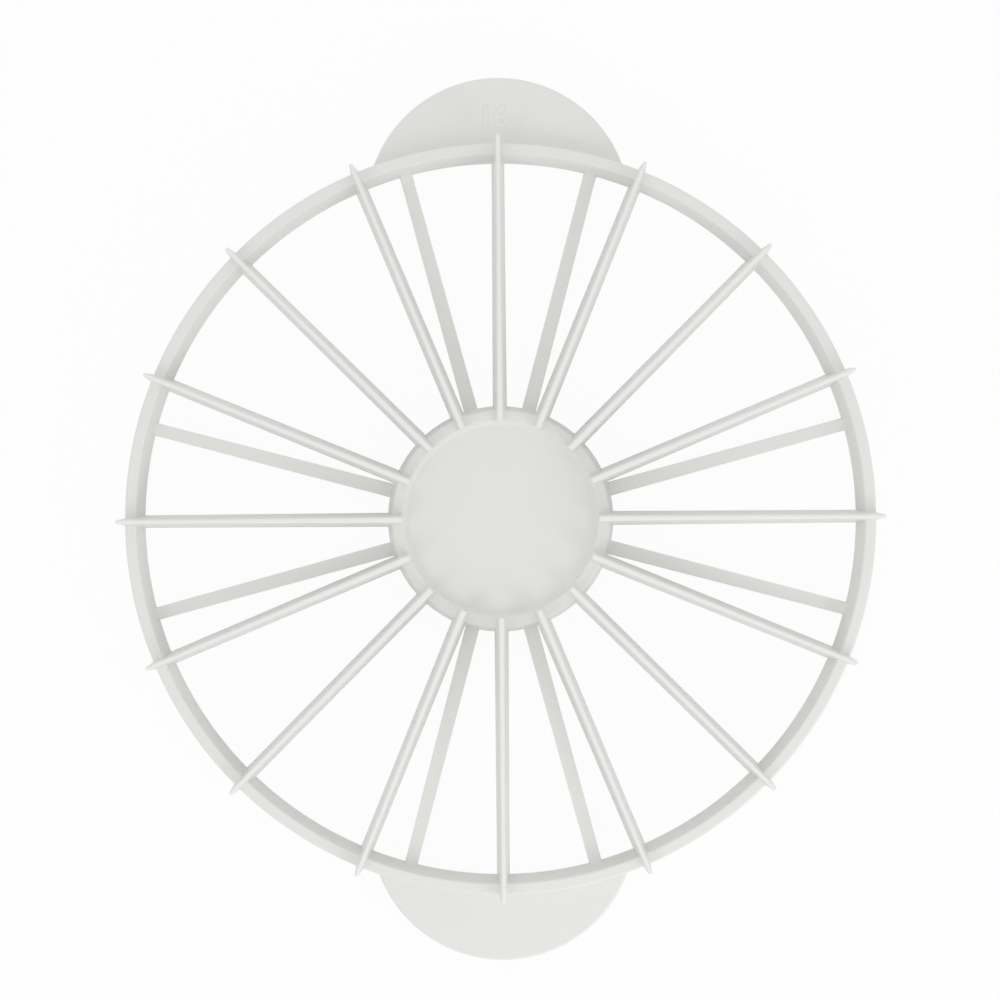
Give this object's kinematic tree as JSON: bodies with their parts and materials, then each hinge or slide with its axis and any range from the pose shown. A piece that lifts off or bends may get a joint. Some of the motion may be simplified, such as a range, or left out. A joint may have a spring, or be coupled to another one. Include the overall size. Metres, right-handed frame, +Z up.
{
  "type": "cake portion marker",
  "caption": "Double-sided cake portion marker: a ring with radial marking blades on both faces, a recessed round hub and two crescent handle plates.",
  "frame": {"origin": "centre of the ring, on the plane that the lower blades' ridges rest on", "axes": "+Z up, towards the face that marks the smaller portions; Y runs through both handle plates"},
  "size_m": [0.2756, 0.319, 0.0276],
  "materials": {
    "moulding": "slightly warm white injection-moulded plastic with a fine satin grain"
  },
  "bodies": {
    "root": {"cake_marker": "moulding"}
  },
  "joints": []
}
